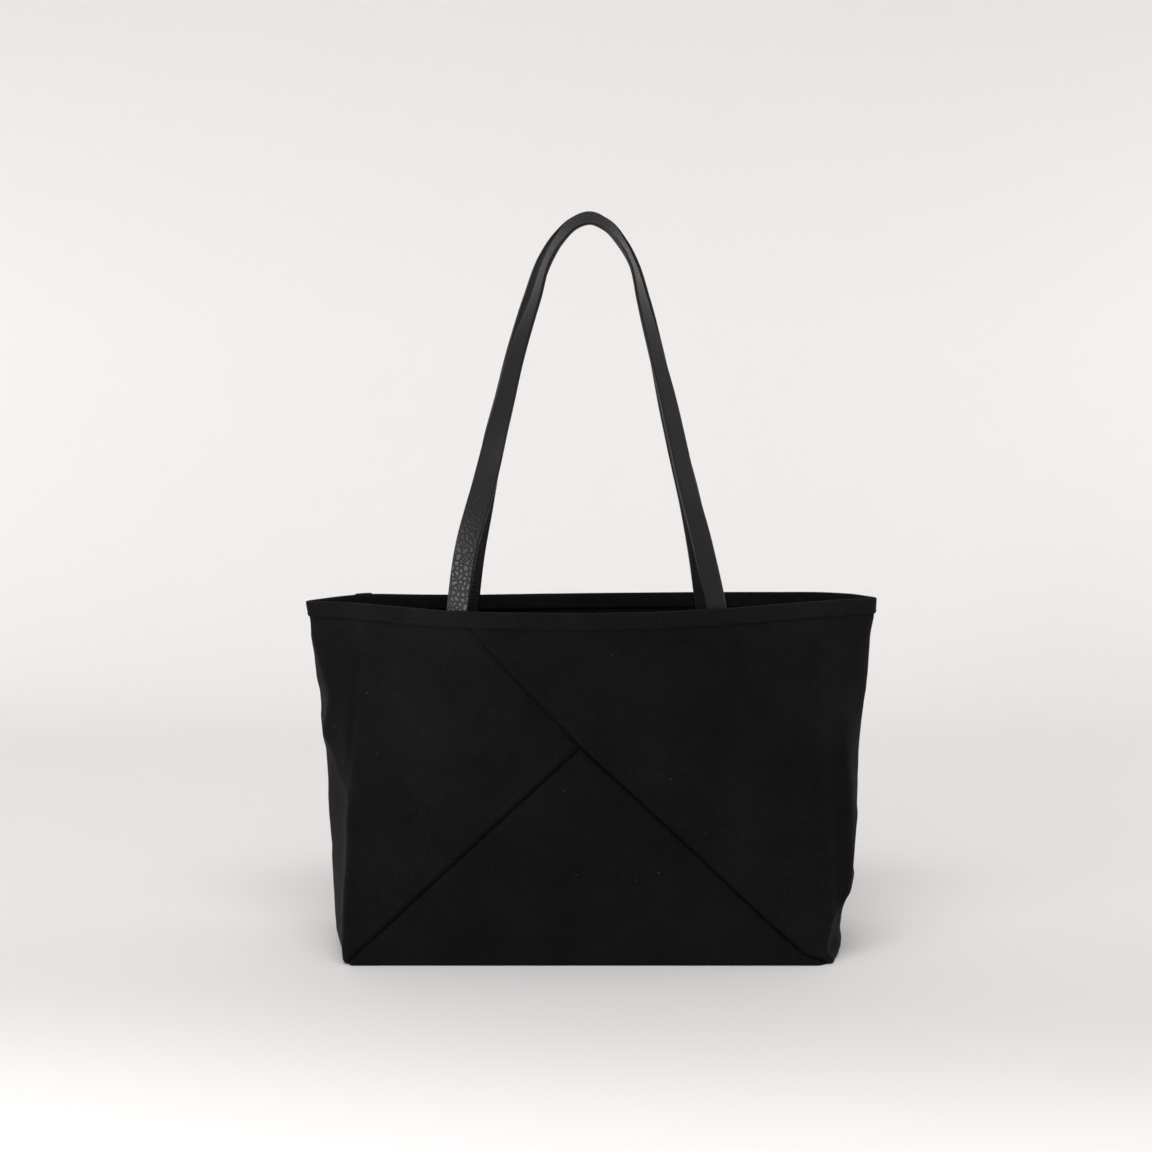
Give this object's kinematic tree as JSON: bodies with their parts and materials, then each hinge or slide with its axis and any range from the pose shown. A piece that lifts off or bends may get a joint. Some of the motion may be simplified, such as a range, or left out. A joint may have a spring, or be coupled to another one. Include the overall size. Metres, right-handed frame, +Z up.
{
  "type": "tote bag",
  "caption": "Open-topped black canvas tote bag with a flat base, a bound rim, lapped diagonal seams and shoulder straps of leather.",
  "frame": {"origin": "middle of the whole object's box, on the surface it stands on", "axes": "+Z up; -Y is the front with the bowed rim; +X to the right seen from the front; the long side of the base runs along X"},
  "size_m": [0.476, 0.1538, 0.612],
  "materials": {
    "canvas": "matte plain-weave cotton canvas",
    "canvas_bottom": "matte plain-weave cotton canvas",
    "binding": "matte folded canvas strip, stitched",
    "leather": "pebbled grain, semi-matte",
    "thread": "waxed thread",
    "board": "plain grey board"
  },
  "bodies": {
    "bag": {"left_side_panel": "canvas", "right_side_panel": "canvas", "bottom_panel": "canvas_bottom", "rim_binding": "binding", "base_board": "board", "front_strap_end_left": "leather", "front_strap_end_right": "leather", "back_strap_end_left": "leather", "back_strap_end_right": "leather", "front_strap_stitching_left": "thread", "front_strap_stitching_right": "thread", "back_strap_stitching_left": "thread", "back_strap_stitching_right": "thread"},
    "front_strap": {"front_strap": "leather"},
    "back_strap": {"back_strap": "leather"}
  },
  "joints": [
    {"name": "front_strap_fold", "type": "hinge", "parent": "bag", "child": "front_strap", "pos_m": [0, -0.06478, 0.312], "axis": [1, 0, 0], "range_deg": [0, 185]},
    {"name": "back_strap_fold", "type": "hinge", "parent": "bag", "child": "back_strap", "pos_m": [0, 0.07453, 0.312], "axis": [-1, 0, 0], "range_deg": [0, 185]}
  ]
}
